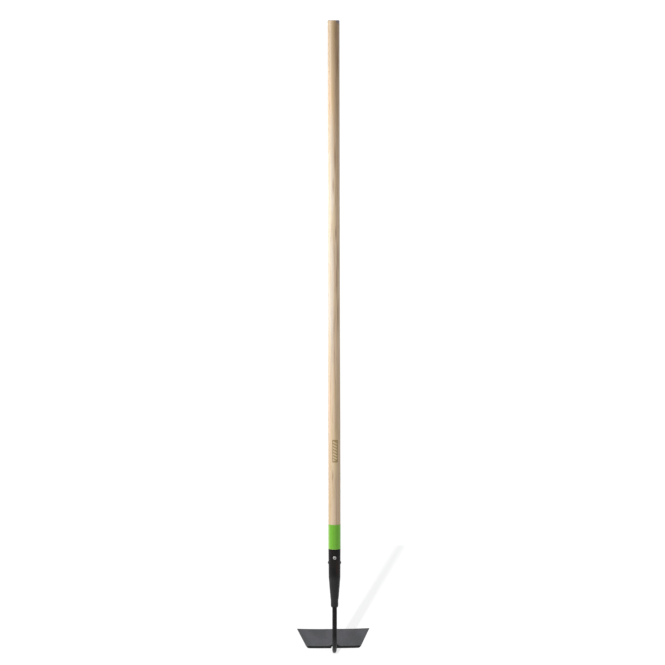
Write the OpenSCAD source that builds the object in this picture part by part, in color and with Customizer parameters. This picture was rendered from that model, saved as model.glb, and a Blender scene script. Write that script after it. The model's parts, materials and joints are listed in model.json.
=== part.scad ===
// Draw hoe: a trapezoid steel blade welded to a bent rod neck, a tapered socket
// ferrule, and a long turned ash handle held in the ferrule by two rivets.
// Millimetres. +Z runs up the handle, the blade reaches towards +Y, X is across it.
// The origin lies under the middle of the tool, level with the lowest point of the neck.

/* [Handle] */
// Height of the butt end above the lowest point of the neck
tool_height = 1518; // [1200:1:1700]
// Diameter of the straight upper part
grip_d = 28.1; // [24:0.1:28.5]
// Diameter just above the ferrule
shank_d = 29.2; // [28.8:0.1:29.6]
// Height at which the straight upper part begins
grip_start_z = 790; // [600:10:1000]
// Height up to which the wood keeps the diameter it has above the ferrule
shank_end_z = 560; // [360:10:590]
// Chamfer round the butt end
butt_chamfer = 1.4; // [0.5:0.1:4]
// Height of the lower end of the wood, inside the ferrule
wood_end_z = 146.5; // [144:0.5:170]

/* [Colour band] */
// Height of the band's lower edge
band_start_z = 259.2; // [259.2:0.1:266]
// Length of the band along the handle
band_length = 59.8; // [20:0.1:90]
// Thickness of the band
band_t = 0.3; // [0.2:0.05:0.6]
// How deep the band is let into the wood
band_seat = 0.15; // [0.05:0.05:0.15]

/* [Ferrule] */
// Height of the upper lip
ferrule_top_z = 258.8; // [254:0.1:258.8]
// Height at which the ferrule starts to taper
taper_start_z = 190; // [180:1:200]
// Height at which the taper meets the collar
collar_top_z = 136; // [132:0.5:140]
// Height of the lower end of the collar
ferrule_bottom_z = 119.5; // [117:0.5:122]
// Outer diameter at the lip
lip_d = 29.3; // [28.8:0.1:29.5]
// Outer diameter where the taper starts
taper_d = 28.2; // [27.5:0.1:28.5]
// Outer diameter at the lower end of the taper
taper_end_d = 19.4; // [18.9:0.1:20]
// Outer diameter of the collar
collar_d = 18.2; // [17:0.1:18.7]
// Sheet thickness
ferrule_t = 1.6; // [1.2:0.1:2]

/* [Rivets] */
// Height of the rivet whose ends face front and back
front_rivet_z = 239; // [235:0.5:245]
// Height of the rivet whose ends face left and right
cross_rivet_z = 225.5; // [218:0.5:228]
// Diameter of both rivet shanks
rivet_d = 4.6; // [3.5:0.1:5]
// Diameter of the domed heads and of the rolled ring
rivet_head_d = 7.4; // [6.5:0.1:8]
// How far a domed head stands out of the ferrule
rivet_head_h = 1.9; // [1.2:0.1:2.4]
// Diameter of the eye in the rolled end of the front rivet
rivet_eye_d = 2.8; // [1.5:0.1:3]
// Depth of that eye
rivet_eye_depth = 7; // [3:0.5:12]

/* [Neck] */
// Diameter of the steel rod
rod_d = 11.4; // [10:0.1:11.4]
// Bend radius of the rod's centre line
bend_r = 30; // [24:0.5:36]
// Height of the rod's upper end inside the ferrule
rod_top_z = 143; // [140:0.5:143.5]
// Straight length between the end of the bend and the blade's shoulder edge
lead_length = 6; // [2:0.5:15]
// Length of the drawn-out point that lies in the blade's groove
point_length = 32; // [24:1:33]
// Diameter of the tip of that point
point_d = 2.6; // [1.6:0.1:2.8]

/* [Blade] */
// Tilt of the blade above level; its angle to the handle is 90 degrees less this
blade_tilt = 17; // [10:0.5:25]
// Width of the cutting edge
edge_width = 177.8; // [150:0.1:200]
// Width of the shoulder edge, measured as if its corners were sharp
shoulder_width = 131; // [100:1:145]
// Distance from the shoulder edge to the cutting edge
blade_depth = 93.5; // [80:0.5:120]
// Sheet thickness
blade_t = 2.6; // [2.4:0.1:2.8]
// Radius of the two shoulder corners
shoulder_r = 9; // [3:0.5:12]
// Width of the ground bevel at the cutting edge
bevel_width = 7; // [4:0.5:12]
// Thickness left at the sharp end of the bevel
edge_t = 0.6; // [0.4:0.1:1.2]
// Height of the turned-down shoulder edge, sheet included
shoulder_edge_h = 5.4; // [4:0.1:6]
// How far the middle plane of the sheet passes above the rod's centre line
blade_lift = 3.3; // [3.1:0.1:3.5]

/* [Rib] */
// Length of the raised rib, from the shoulder edge to its point
rib_length = 40; // [38:1:46]
// Height of the rib above the sheet at the shoulder edge
rib_height = 5.6; // [5.6:0.1:6.4]
// Full width of the rib at the shoulder edge
rib_width = 29; // [27:0.5:32]

/* [Welds] */
// Radius of the weld between ferrule and neck
socket_weld_r = 2.6; // [1.8:0.1:2.8]
// Radius of the two weld beads between neck and blade
bead_r = 3.4; // [3.2:0.1:3.4]

/* [Hidden] */
$fn = 96;
// Overshoot of every cut, and the gap left between pieces that are driven together
cut = 1;
fit_gap = 0.04;
rod_r = rod_d / 2;
// The rod past the bend is dressed down to this radius
dressed_r = rod_r - 0.25;

// Ferrule and tenon: radii of the outside and of the hollow that takes the wood
collar_blend = 2;
round_r = 1.2;
hollow_bottom_z = rod_top_z + 0.5;
lip_break = 0.4;

// Neck: the bend turns about this line, and then runs along the sheet
bend_y = bend_r;
bend_z = rod_r + bend_r;
bend_angle = 90 + blade_tilt;
sheet_y = bend_y + (bend_r - blade_lift) * sin(blade_tilt) + lead_length * cos(blade_tilt);
sheet_z = bend_z - (bend_r - blade_lift) * cos(blade_tilt) + lead_length * sin(blade_tilt);

// Rib: a cone whose tip lies in the upper face; two of its straight lines lie there
// too, spread apart by the rib's width, and its top line climbs to the rib's height
rib_rise = atan(rib_height / rib_length);
rib_spread = atan(rib_width / 2 / rib_length);
rib_dip = atan((cos(rib_rise) - cos(rib_spread)) / sin(rib_rise));
rib_half_angle = rib_dip + rib_rise;
rib_cone_h = 2 * rib_length;

// Sheet: lean of its sides, and where each rounded shoulder corner begins
side_angle = atan(blade_depth / ((edge_width - shoulder_width) / 2));
corner_tangent = shoulder_r * tan(side_angle / 2);
corner_x = shoulder_width / 2 - corner_tangent;
// Half width of the groove's mouth, in which the rod lies
mouth_x = rod_r + 1.8;

// Weld beads: ends of their centre lines, in the blade's own coordinates
bead_start = [7.4, 5.2, -0.9];
bead_end = [3.6, 29, -2.6];

// The tool's box in Y before it is moved over the origin
front_y = -lip_d / 2 - 0.7;
back_y = sheet_y + blade_depth * cos(blade_tilt) + blade_t / 2 * sin(blade_tilt);
shift_y = -(front_y + back_y) / 2;

// Outer radius of the ferrule's taper and of its upper part, at a height
function taper_r(z) =
    taper_end_d / 2
    + (taper_d - taper_end_d) / 2 * (z - collar_top_z) / (taper_start_z - collar_top_z);
function lip_r(z) =
    taper_d / 2 + (lip_d - taper_d) / 2 * (z - taper_start_z) / (ferrule_top_z - taper_start_z);

// Moves a piece from the handle's axis to its place over the origin
module placed() {
    translate([0, shift_y, 0]) children();
}

// The blade's own coordinates: X across, Y from the shoulder edge to the cutting edge,
// Z out of the face that looks at the handle, zero in the middle of the sheet
module on_sheet() {
    translate([0, sheet_y, sheet_z]) rotate([blade_tilt, 0, 0]) children();
}

// Turns a piece drawn along +Z so that it points to the front or to the right
module facing_front() {
    translate([0, 0, front_rivet_z]) rotate([90, 0, 0]) children();
}
module facing_right() {
    translate([0, 0, cross_rivet_z]) rotate([0, 90, 0]) children();
}

// Both rivet holes, through wood and ferrule
module rivet_holes() {
    hole_d = rivet_d + 2 * fit_gap;
    facing_front() cylinder(h = 2 * lip_d, d = hole_d, center = true);
    facing_right() cylinder(h = 2 * lip_d, d = hole_d, center = true);
}

// Half outline of the turned wood
module wood_outline() {
    inside = ferrule_t + fit_gap;
    polygon([
        [0, wood_end_z],
        [taper_r(wood_end_z) - inside - 1, wood_end_z],
        [taper_r(wood_end_z + 1) - inside, wood_end_z + 1],
        [taper_d / 2 - inside, taper_start_z],
        [lip_d / 2 - inside, ferrule_top_z + fit_gap],
        [shank_d / 2 - lip_break, ferrule_top_z + fit_gap],
        [shank_d / 2, ferrule_top_z + 2 * lip_break],
        [shank_d / 2, shank_end_z],
        [grip_d / 2, grip_start_z],
        [grip_d / 2, tool_height - butt_chamfer],
        [grip_d / 2 - butt_chamfer, tool_height],
        [0, tool_height]
    ]);
}

// A thin sleeve let into the wood; grow widens it on the outside
module band_sleeve(grow) {
    translate([0, 0, band_start_z]) rotate_extrude()
        translate([shank_d / 2 - band_seat, 0]) square([band_t + grow, band_length]);
}

// Turned ash handle: coned and stepped at its lower end, drilled for both rivets
module handle() {
    color("burlywood") placed() difference() {
        rotate_extrude() wood_outline();
        band_sleeve(cut);
        rivet_holes();
    }
}

// Thin coloured sleeve round the wood, just above the ferrule
module colour_band() {
    color("limegreen") placed() band_sleeve(0);
}

// Half outline of the ferrule without its hollow
module ferrule_outside() {
    polygon([
        [0, ferrule_bottom_z],
        [collar_d / 2 - round_r, ferrule_bottom_z],
        [collar_d / 2, ferrule_bottom_z + round_r],
        [collar_d / 2, collar_top_z - collar_blend],
        [taper_r(collar_top_z + collar_blend), collar_top_z + collar_blend],
        [taper_d / 2, taper_start_z],
        [lip_d / 2, ferrule_top_z - lip_break],
        [lip_d / 2 - lip_break, ferrule_top_z],
        [0, ferrule_top_z]
    ]);
    translate([collar_d / 2 - round_r, ferrule_bottom_z + round_r]) circle(r = round_r);
}

// Half outline of the hollow for the wood, and of the hole for the rod under it
module ferrule_inside() {
    polygon([
        [-cut, hollow_bottom_z],
        [taper_r(hollow_bottom_z) - ferrule_t, hollow_bottom_z],
        [taper_d / 2 - ferrule_t, taper_start_z],
        [lip_d / 2 - ferrule_t, ferrule_top_z],
        [lip_d / 2 - ferrule_t, ferrule_top_z + cut],
        [-cut, ferrule_top_z + cut]
    ]);
    translate([-cut, ferrule_bottom_z - cut])
        square([rod_r + fit_gap + cut, hollow_bottom_z - ferrule_bottom_z + 2 * cut]);
}

// Tapered steel socket
module ferrule() {
    color([0.09, 0.09, 0.1]) placed() difference() {
        rotate_extrude() difference() {
            ferrule_outside();
            ferrule_inside();
        }
        rivet_holes();
    }
}

// Domed head with its rim on the XY plane and a short skirt under it
module dome_head() {
    ball_r = (pow(rivet_head_d / 2, 2) + pow(rivet_head_h, 2)) / (2 * rivet_head_h);
    skirt = 0.8;
    intersection() {
        translate([0, 0, rivet_head_h - ball_r]) sphere(r = ball_r);
        cylinder(h = 2 * rivet_head_h, d = rivet_head_d);
    }
    translate([0, 0, -skirt]) cylinder(h = skirt, d = rivet_head_d);
}

// Rolled ring with its middle on the XY plane
module rolled_ring() {
    roll_r = 0.9;
    rotate_extrude() {
        translate([rivet_head_d / 2 - roll_r, 0]) circle(r = roll_r);
        translate([0, -roll_r]) square([rivet_head_d / 2 - roll_r, 2 * roll_r]);
    }
}

// Cuts the saddle under a rivet's heads so that they sit on the ferrule
module seated_on_ferrule() {
    difference() {
        children();
        rotate_extrude() {
            translate([fit_gap, 0]) ferrule_outside();
            translate([0, ferrule_bottom_z]) square([cut, ferrule_top_z - ferrule_bottom_z]);
        }
    }
}

// Rivet from front to back: a rolled hollow end in front, a domed head behind
module front_rivet() {
    seat = lip_r(front_rivet_z);
    color("silver") placed() difference() {
        union() {
            seated_on_ferrule() facing_front() rotate([0, 0, 90]) {
                translate([0, 0, seat]) rolled_ring();
                mirror([0, 0, 1]) translate([0, 0, seat]) dome_head();
            }
            facing_front() cylinder(h = 2 * seat + 0.4, d = rivet_d, center = true);
        }
        facing_front() translate([0, 0, seat + 2 - rivet_eye_depth])
            cylinder(h = rivet_eye_depth, d = rivet_eye_d);
    }
}

// Rivet from left to right, with a domed head at both ends
module cross_rivet() {
    seat = lip_r(cross_rivet_z);
    color([0.2, 0.2, 0.21]) placed() {
        seated_on_ferrule() facing_right() {
            translate([0, 0, seat]) dome_head();
            mirror([0, 0, 1]) translate([0, 0, seat]) dome_head();
        }
        facing_right() cylinder(h = 2 * seat + 0.4, d = rivet_d, center = true);
    }
}

// The rod: upright in the ferrule, bent under, then drawn out to a point
module neck_shape() {
    translate([0, 0, bend_z]) cylinder(h = rod_top_z - bend_z, r = rod_r);
    translate([0, bend_y, bend_z]) rotate([90, 0, 90]) rotate([0, 0, 180])
        rotate_extrude(angle = bend_angle) translate([bend_r, 0]) circle(r = rod_r);
    translate([0, bend_y, bend_z]) rotate([bend_angle, 0, 0]) translate([0, -bend_r, 0])
        mirror([0, 0, 1]) {
            translate([0, 0, -cut]) cylinder(h = lead_length + cut, r = dressed_r);
            translate([0, 0, lead_length])
                cylinder(h = point_length, r1 = dressed_r, r2 = point_d / 2);
        }
}

// Bent steel rod that joins ferrule and blade
module neck() {
    color([0.11, 0.11, 0.12]) placed() neck_shape();
}

// Quarter-round weld that closes the corner between the ferrule and the neck
module socket_weld() {
    color([0.13, 0.13, 0.14]) placed() rotate_extrude() intersection() {
        translate([rod_r, ferrule_bottom_z]) circle(r = socket_weld_r);
        translate([rod_r, ferrule_bottom_z - socket_weld_r])
            square(socket_weld_r);
    }
}

// Outline of the sheet: a trapezoid with its two shoulder corners rounded
module sheet_outline() {
    side_x = shoulder_width / 2 + corner_tangent * cos(side_angle);
    side_y = corner_tangent * sin(side_angle);
    polygon([
        [-corner_x, 0], [corner_x, 0], [side_x, side_y],
        [edge_width / 2, blade_depth], [-edge_width / 2, blade_depth],
        [-side_x, side_y]
    ]);
    translate([corner_x, shoulder_r]) circle(r = shoulder_r);
    translate([-corner_x, shoulder_r]) circle(r = shoulder_r);
}

// The rib's cone; inset moves it inwards by a distance measured across its surface
module rib_cone(inset) {
    translate([0, rib_length, blade_t / 2]) rotate([90 + rib_dip, 0, 0])
        translate([0, 0, inset / sin(rib_half_angle)])
            cylinder(h = rib_cone_h, r1 = 0, r2 = rib_cone_h * tan(rib_half_angle));
}

// Right half of the turned-down shoulder edge: a wall from beside the rod to the
// corner, which closes the groove's mouth under the rib
module shoulder_edge() {
    translate([mouth_x, 0, blade_t / 2 - shoulder_edge_h]) {
        cube([corner_x - mouth_x, blade_t, shoulder_edge_h - blade_t / 2]);
        cube([rib_width / 2 + cut - mouth_x, blade_t, shoulder_edge_h]);
    }
    intersection() {
        rib_cone(0);
        translate([mouth_x, 0, 0])
            cube([rib_width / 2 + cut - mouth_x, blade_t, 2 * rib_height]);
    }
}

// Sheet with its turned-down shoulder edge, the raised rib, the groove under the rib
// and the ground cutting edge
module blade_shape() {
    difference() {
        union() {
            translate([0, 0, -blade_t / 2]) linear_extrude(blade_t) sheet_outline();
            intersection() {
                rib_cone(0);
                translate([-rib_width, 0, -blade_t / 2])
                    cube([2 * rib_width, rib_length, 2 * rib_height]);
            }
        }
        rib_cone(blade_t);
        // Bevel ground on the upper face
        rotate([90, 0, 90]) translate([0, 0, -edge_width]) linear_extrude(2 * edge_width)
            polygon([
                [blade_depth - bevel_width, blade_t / 2],
                [blade_depth + cut, edge_t - blade_t / 2 - (blade_t - edge_t) / bevel_width],
                [blade_depth + cut, blade_t]
            ]);
    }
    shoulder_edge();
    mirror([1, 0, 0]) shoulder_edge();
}

// Trapezoid steel blade
module blade() {
    color([0.34, 0.34, 0.36]) placed() on_sheet() blade_shape();
}

// Round bar with ball ends from one point to another
module bar(from, to, r) {
    run = to - from;
    length = norm(run);
    translate(from) rotate([0, acos(run.z / length), atan2(run.y, run.x)]) {
        sphere(r = r);
        cylinder(h = length, r = r);
        translate([0, 0, length]) sphere(r = r);
    }
}

// Two beads under the blade, one on each side of the neck's point
module blade_weld() {
    color([0.13, 0.13, 0.14]) placed() difference() {
        on_sheet() {
            bar(bead_start, bead_end, bead_r);
            mirror([1, 0, 0]) bar(bead_start, bead_end, bead_r);
        }
        neck_shape();
        on_sheet() blade_shape();
    }
}

handle();
colour_band();
ferrule();
front_rivet();
cross_rivet();
neck();
socket_weld();
blade();
blade_weld();
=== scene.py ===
"""Looks of the draw hoe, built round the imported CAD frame. Metres, in the row frame."""

import json
import math

import bmesh
import bpy
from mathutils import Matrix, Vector, noise

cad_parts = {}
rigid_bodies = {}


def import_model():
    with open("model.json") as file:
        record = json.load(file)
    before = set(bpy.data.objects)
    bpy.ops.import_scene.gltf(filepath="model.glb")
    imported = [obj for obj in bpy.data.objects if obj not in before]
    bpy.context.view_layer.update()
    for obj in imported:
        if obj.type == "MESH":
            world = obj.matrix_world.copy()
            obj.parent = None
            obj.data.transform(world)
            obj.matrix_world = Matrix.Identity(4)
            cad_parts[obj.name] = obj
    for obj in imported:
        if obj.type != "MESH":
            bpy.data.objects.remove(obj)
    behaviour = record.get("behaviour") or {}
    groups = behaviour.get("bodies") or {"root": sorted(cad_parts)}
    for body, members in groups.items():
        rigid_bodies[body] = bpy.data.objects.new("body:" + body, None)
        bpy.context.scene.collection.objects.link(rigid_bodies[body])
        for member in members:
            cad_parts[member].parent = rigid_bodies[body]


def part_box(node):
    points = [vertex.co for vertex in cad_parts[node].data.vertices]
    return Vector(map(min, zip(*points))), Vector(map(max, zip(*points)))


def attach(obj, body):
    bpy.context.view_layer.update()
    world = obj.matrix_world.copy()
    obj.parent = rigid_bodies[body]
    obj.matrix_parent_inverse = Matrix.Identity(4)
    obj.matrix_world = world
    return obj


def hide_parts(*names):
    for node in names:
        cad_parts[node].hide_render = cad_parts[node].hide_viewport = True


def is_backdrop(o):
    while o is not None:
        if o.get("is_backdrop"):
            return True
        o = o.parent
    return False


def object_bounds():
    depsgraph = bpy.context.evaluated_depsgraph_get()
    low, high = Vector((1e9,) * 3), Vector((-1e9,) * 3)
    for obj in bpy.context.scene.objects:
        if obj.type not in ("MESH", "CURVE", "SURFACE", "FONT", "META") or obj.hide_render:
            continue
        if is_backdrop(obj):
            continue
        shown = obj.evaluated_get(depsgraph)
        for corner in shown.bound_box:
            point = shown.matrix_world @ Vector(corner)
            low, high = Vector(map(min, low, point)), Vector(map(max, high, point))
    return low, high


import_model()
cad_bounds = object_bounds()

MM = 0.001
TAU = 2 * math.pi

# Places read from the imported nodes
HANDLE_LO, HANDLE_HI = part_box("handle")
BAND_LO, BAND_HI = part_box("colour_band")
FERRULE_LO, FERRULE_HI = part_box("ferrule")
FRONT_LO, FRONT_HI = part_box("front_rivet")
CROSS_LO, CROSS_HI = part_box("cross_rivet")
_, NECK_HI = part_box("neck")
BLADE_LO, BLADE_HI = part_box("blade")
AXIS_Y = (HANDLE_LO.y + HANDLE_HI.y) / 2
BUTT_Z = HANDLE_HI.z

# Handle
SHANK_R = HANDLE_HI.x
GRIP_R = 14.05 * MM
SWELL_LOW_Z = 530 * MM
SWELL_HIGH_Z = 820 * MM
CHAMFER = 1.4 * MM
BAND_T = 0.30 * MM

# Ferrule
WALL = 1.6 * MM
COLLAR_R = 9.1 * MM
COLLAR_TOP_Z = 136 * MM
TAPER_END_R = 9.7 * MM
TAPER_R = 14.1 * MM
TAPER_Z = 190 * MM
LIP_R = 14.65 * MM

# Neck: rod, bend and point
ROD_R = NECK_HI.x
BEND_R = 30 * MM
BEND_Z = ROD_R + BEND_R
BEND_ANGLE = math.radians(107)
LEAD = 6 * MM
POINT = 32 * MM
POINT_R = 1.4 * MM

# Blade, in its own axes: x across, y from shoulder to cutting edge, z out of the upper face
TILT = math.radians(17)
DEPTH = 93.5 * MM
SHEET_T = 2.6 * MM
EDGE_T = 0.6 * MM
BEVEL = 7 * MM
EDGE_HALF = BLADE_HI.x
SHOULDER_HALF = 65.5 * MM
SHOULDER_R = 9 * MM
FLANGE_H = 5.4 * MM
RIB_LENGTH = 40 * MM
RIB_H = 5.6 * MM
RIB_HALF = 14.5 * MM
SHEET_Y = BLADE_HI.y - DEPTH * math.cos(TILT) - SHEET_T / 2 * math.sin(TILT)
SHEET_Z = BLADE_LO.z + (FLANGE_H - SHEET_T / 2) * math.cos(TILT)


# ---- mesh helpers

def smoothstep(low, high, value):
    t = min(1.0, max(0.0, (value - low) / (high - low)))
    return t * t * (3 - 2 * t)


def lerp(a, b, t):
    return a + (b - a) * t


def jitter(point, scale, seed):
    """Smooth noise from -1 to 1 at a point in metres; scale is in waves per metre."""
    return noise.noise(Vector(point) * scale + Vector((seed, 1.7 * seed, -seed)))


def new_piece(name, points, faces, material, crease=40):
    mesh = bpy.data.meshes.new(name)
    mesh.from_pydata([tuple(p) for p in points], [], faces)
    mesh.validate()
    build = bmesh.new()
    build.from_mesh(mesh)
    bmesh.ops.remove_doubles(build, verts=build.verts, dist=1e-7)
    bmesh.ops.recalc_face_normals(build, faces=build.faces)
    for face in build.faces:
        face.smooth = True
    limit = math.radians(crease)
    for edge in build.edges:
        if len(edge.link_faces) == 2:
            edge.smooth = edge.calc_face_angle(0) < limit
    build.to_mesh(mesh)
    build.free()
    piece = bpy.data.objects.new(name, mesh)
    bpy.context.scene.collection.objects.link(piece)
    mesh.materials.append(material)
    return piece


def loops_to_faces(count, around, first=0):
    """Quads between count closed loops of around points each."""
    faces = []
    for i in range(count - 1):
        for j in range(around):
            a = first + i * around + j
            b = first + i * around + (j + 1) % around
            faces.append((a, b, b + around, a + around))
    return faces


def tube_faces(count, around):
    """Quads round a tube and one flat face over each of its ends."""
    faces = loops_to_faces(count, around)
    faces.append(tuple(range(around)))
    faces.append(tuple((count - 1) * around + j for j in range(around)))
    return faces


def revolve(name, profile, place, material, around=96, ripple=None, crease=40):
    """A closed solid turned from (radius, height) pairs; radius 0 at either end closes it.
    place(radius, angle, height) gives the point, ripple(angle, height, radius) adds to
    the radius."""
    points = []
    faces = []
    rings = []
    for radius, height in profile:
        if radius <= 0:
            rings.append([len(points)])
            points.append(place(0, 0, height))
            continue
        ring = []
        for j in range(around):
            angle = TAU * j / around
            extra = ripple(angle, height, radius) if ripple else 0
            ring.append(len(points))
            points.append(place(radius + extra, angle, height))
        rings.append(ring)
    pairs = list(zip(rings, rings[1:]))
    if profile[0][0] > 0 and profile[-1][0] > 0:
        pairs.append((rings[-1], rings[0]))
    for low, high in pairs:
        for j in range(around):
            k = (j + 1) % around
            if len(low) == 1:
                faces.append((low[0], high[k], high[j]))
            elif len(high) == 1:
                faces.append((low[j], low[k], high[0]))
            else:
                faces.append((low[j], low[k], high[k], high[j]))
    return new_piece(name, points, faces, material, crease)


def upright(radius, angle, height):
    """A point round the handle's axis; angle 0 faces the front and grows to the right."""
    return (radius * math.sin(angle), AXIS_Y - radius * math.cos(angle), height)


def arc(centre, radius, start, end, steps):
    """(radius, height) pairs along a circular arc, angles in degrees from the outward axis."""
    out = []
    for i in range(steps + 1):
        a = math.radians(lerp(start, end, i / steps))
        out.append((centre[0] + radius * math.cos(a), centre[1] + radius * math.sin(a)))
    return out


def densify(profile, step):
    """Adds points so that no stretch of the outline is longer than step."""
    out = [profile[0]]
    for (r0, z0), (r1, z1) in zip(profile, profile[1:]):
        pieces = max(1, math.ceil(math.hypot(r1 - r0, z1 - z0) / step))
        for i in range(1, pieces + 1):
            out.append((lerp(r0, r1, i / pieces), lerp(z0, z1, i / pieces)))
    return out


def drill(piece, start, end, radius):
    """Cuts a round hole through a piece and keeps the result as its mesh."""
    axis = Vector(end) - Vector(start)
    bpy.ops.mesh.primitive_cylinder_add(
        vertices=48, radius=radius, depth=axis.length,
        location=(Vector(start) + Vector(end)) / 2,
        rotation=axis.to_track_quat("Z", "Y").to_euler(),
    )
    tool = bpy.context.object
    cut = piece.modifiers.new("hole", "BOOLEAN")
    cut.operation = "DIFFERENCE"
    cut.solver = "EXACT"
    cut.object = tool
    bpy.context.view_layer.update()
    graph = bpy.context.evaluated_depsgraph_get()
    result = bpy.data.meshes.new_from_object(piece.evaluated_get(graph))
    piece.modifiers.clear()
    piece.data = result
    bpy.data.objects.remove(tool)


def sweep(name, path, radii, across, material, around=32, shape=None, crease=50):
    """A tube along a path in a plane; across is that plane's normal. Its ends are domed."""
    side = Vector(across).normalized()
    points = []
    count = len(path)
    for i, centre in enumerate(path):
        before = path[max(i - 1, 0)]
        after = path[min(i + 1, count - 1)]
        along = (Vector(after) - Vector(before)).normalized()
        up = along.cross(side).normalized()
        for j in range(around):
            a = TAU * j / around
            r = radii[i] * (shape(i / (count - 1), a) if shape else 1)
            points.append(Vector(centre) + side * (r * math.cos(a)) + up * (r * math.sin(a)))
    return new_piece(name, points, tube_faces(count, around), material, crease)


# ---- material helpers

class Shader:
    """A node material on a Principled shader; its coordinates are the row frame's, in metres."""

    def __init__(self, name):
        self.material = bpy.data.materials.new(name)
        self.material.use_nodes = True
        self.nodes = self.material.node_tree.nodes
        self.links = self.material.node_tree.links
        self.nodes.clear()
        output = self.nodes.new("ShaderNodeOutputMaterial")
        self.bsdf = self.nodes.new("ShaderNodeBsdfPrincipled")
        self.links.new(self.bsdf.outputs[0], output.inputs[0])
        self.coord = self.nodes.new("ShaderNodeTexCoord").outputs["Object"]

    def put(self, socket, value):
        if isinstance(value, bpy.types.NodeSocket):
            self.links.new(value, socket)
        else:
            socket.default_value = value

    def set(self, **values):
        for name, value in values.items():
            self.put(self.bsdf.inputs[name.replace("_", " ")], value)

    def math(self, operation, a, b=0.0, c=0.0):
        node = self.nodes.new("ShaderNodeMath")
        node.operation = operation
        for socket, value in zip(node.inputs, (a, b, c)):
            self.put(socket, value)
        return node.outputs[0]

    def moved(self, vector, shift=(0, 0, 0), scale=(1, 1, 1)):
        node = self.nodes.new("ShaderNodeMapping")
        self.put(node.inputs["Vector"], vector)
        node.inputs["Location"].default_value = shift
        node.inputs["Scale"].default_value = scale
        return node.outputs[0]

    def split(self, vector):
        node = self.nodes.new("ShaderNodeSeparateXYZ")
        self.put(node.inputs[0], vector)
        return node.outputs

    def noise(self, vector, scale=1.0, detail=2.0, rough=0.5):
        node = self.nodes.new("ShaderNodeTexNoise")
        self.put(node.inputs["Vector"], vector)
        node.inputs["Scale"].default_value = scale
        node.inputs["Detail"].default_value = detail
        node.inputs["Roughness"].default_value = rough
        return node.outputs["Fac"]

    def stretched(self, shift, scale, detail=2, rough=0.5):
        """Noise with its own scale along each axis, in waves per metre."""
        return self.noise(self.moved(self.coord, shift, scale), 1.0, detail, rough)

    def span(self, value, low, high, to_low=0.0, to_high=1.0):
        """Maps a stretch of a value smoothly onto another, held at both ends."""
        node = self.nodes.new("ShaderNodeMapRange")
        node.interpolation_type = "SMOOTHSTEP"
        for name, v in (("Value", value), ("From Min", low), ("From Max", high),
                        ("To Min", to_low), ("To Max", to_high)):
            self.put(node.inputs[name], v)
        return node.outputs[0]

    def ramp(self, value, stops):
        node = self.nodes.new("ShaderNodeValToRGB")
        self.put(node.inputs[0], value)
        elements = node.color_ramp.elements
        while len(elements) < len(stops):
            elements.new(0.5)
        for element, (place, colour) in zip(elements, stops):
            element.position = place
            element.color = (*colour, 1)
        return node.outputs[0]

    def mix(self, share, a, b, blend="MIX"):
        node = self.nodes.new("ShaderNodeMix")
        node.data_type = "RGBA"
        node.blend_type = blend
        for socket, value in ((node.inputs[0], share), (node.inputs[6], a), (node.inputs[7], b)):
            if isinstance(value, tuple):
                value = (*value, 1)
            self.put(socket, value)
        return node.outputs[2]

    def blob(self, vector, centre, size):
        """1 at a centre, fading to 0 at an ellipsoid of these half sizes."""
        shift = tuple(-c / s for c, s in zip(centre, size))
        local = self.moved(vector, shift, tuple(1 / s for s in size))
        node = self.nodes.new("ShaderNodeVectorMath")
        node.operation = "LENGTH"
        self.put(node.inputs[0], local)
        return self.span(node.outputs["Value"], 1.0, 0.0)

    def bump(self, height, distance, strength=1.0, under=None):
        node = self.nodes.new("ShaderNodeBump")
        node.inputs["Strength"].default_value = strength
        node.inputs["Distance"].default_value = distance
        self.put(node.inputs["Height"], height)
        if under:
            self.put(node.inputs["Normal"], under)
        return node.outputs[0]


# ---- materials

def growth_rings(s):
    """Ash grain as a solid pattern: (place within a ring, long fibre streaks, broad tone)."""
    x, y, z = s.split(s.coord)
    slow = s.moved(s.coord, scale=(9, 9, 1.3))
    sway_x = s.math("SUBTRACT", s.noise(slow, 1.0, 2), 0.5)
    sway_y = s.math("SUBTRACT", s.noise(s.moved(slow, (7, 3, 11)), 1.0, 2), 0.5)
    gx = s.math("MULTIPLY_ADD", sway_x, 0.016, s.math("SUBTRACT", x, 0.022))
    gy = s.math("MULTIPLY_ADD", sway_y, 0.016, s.math("SUBTRACT", y, AXIS_Y + 0.085))
    gy = s.math("MULTIPLY_ADD", z, 0.006, gy)
    square = s.math("MULTIPLY_ADD", gy, gy, s.math("MULTIPLY", gx, gx))
    depth = s.math("SQRT", square)
    thin = s.stretched((0, 0, 0), (260, 260, 3))
    rings = s.math("MULTIPLY_ADD", thin, 0.35, s.math("DIVIDE", depth, 0.0027))
    place = s.math("FRACT", rings)
    streaks = s.stretched((2, 5, 1), (420, 420, 4.5), 4, 0.6)
    broad = s.stretched((3, 1, 4), (55, 55, 1.6))
    return place, streaks, broad


# Plain burnt strip on the front: its middle, half sizes, and the pitch and slope of its hatching
MARK_X, MARK_HALF_X = 1.2 * MM, 6.9 * MM
MARK_Z, MARK_HALF_Z = 496.2 * MM, 27.5 * MM
HATCH_PITCH, HATCH_SLOPE = 7.2 * MM, 0.55


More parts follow.
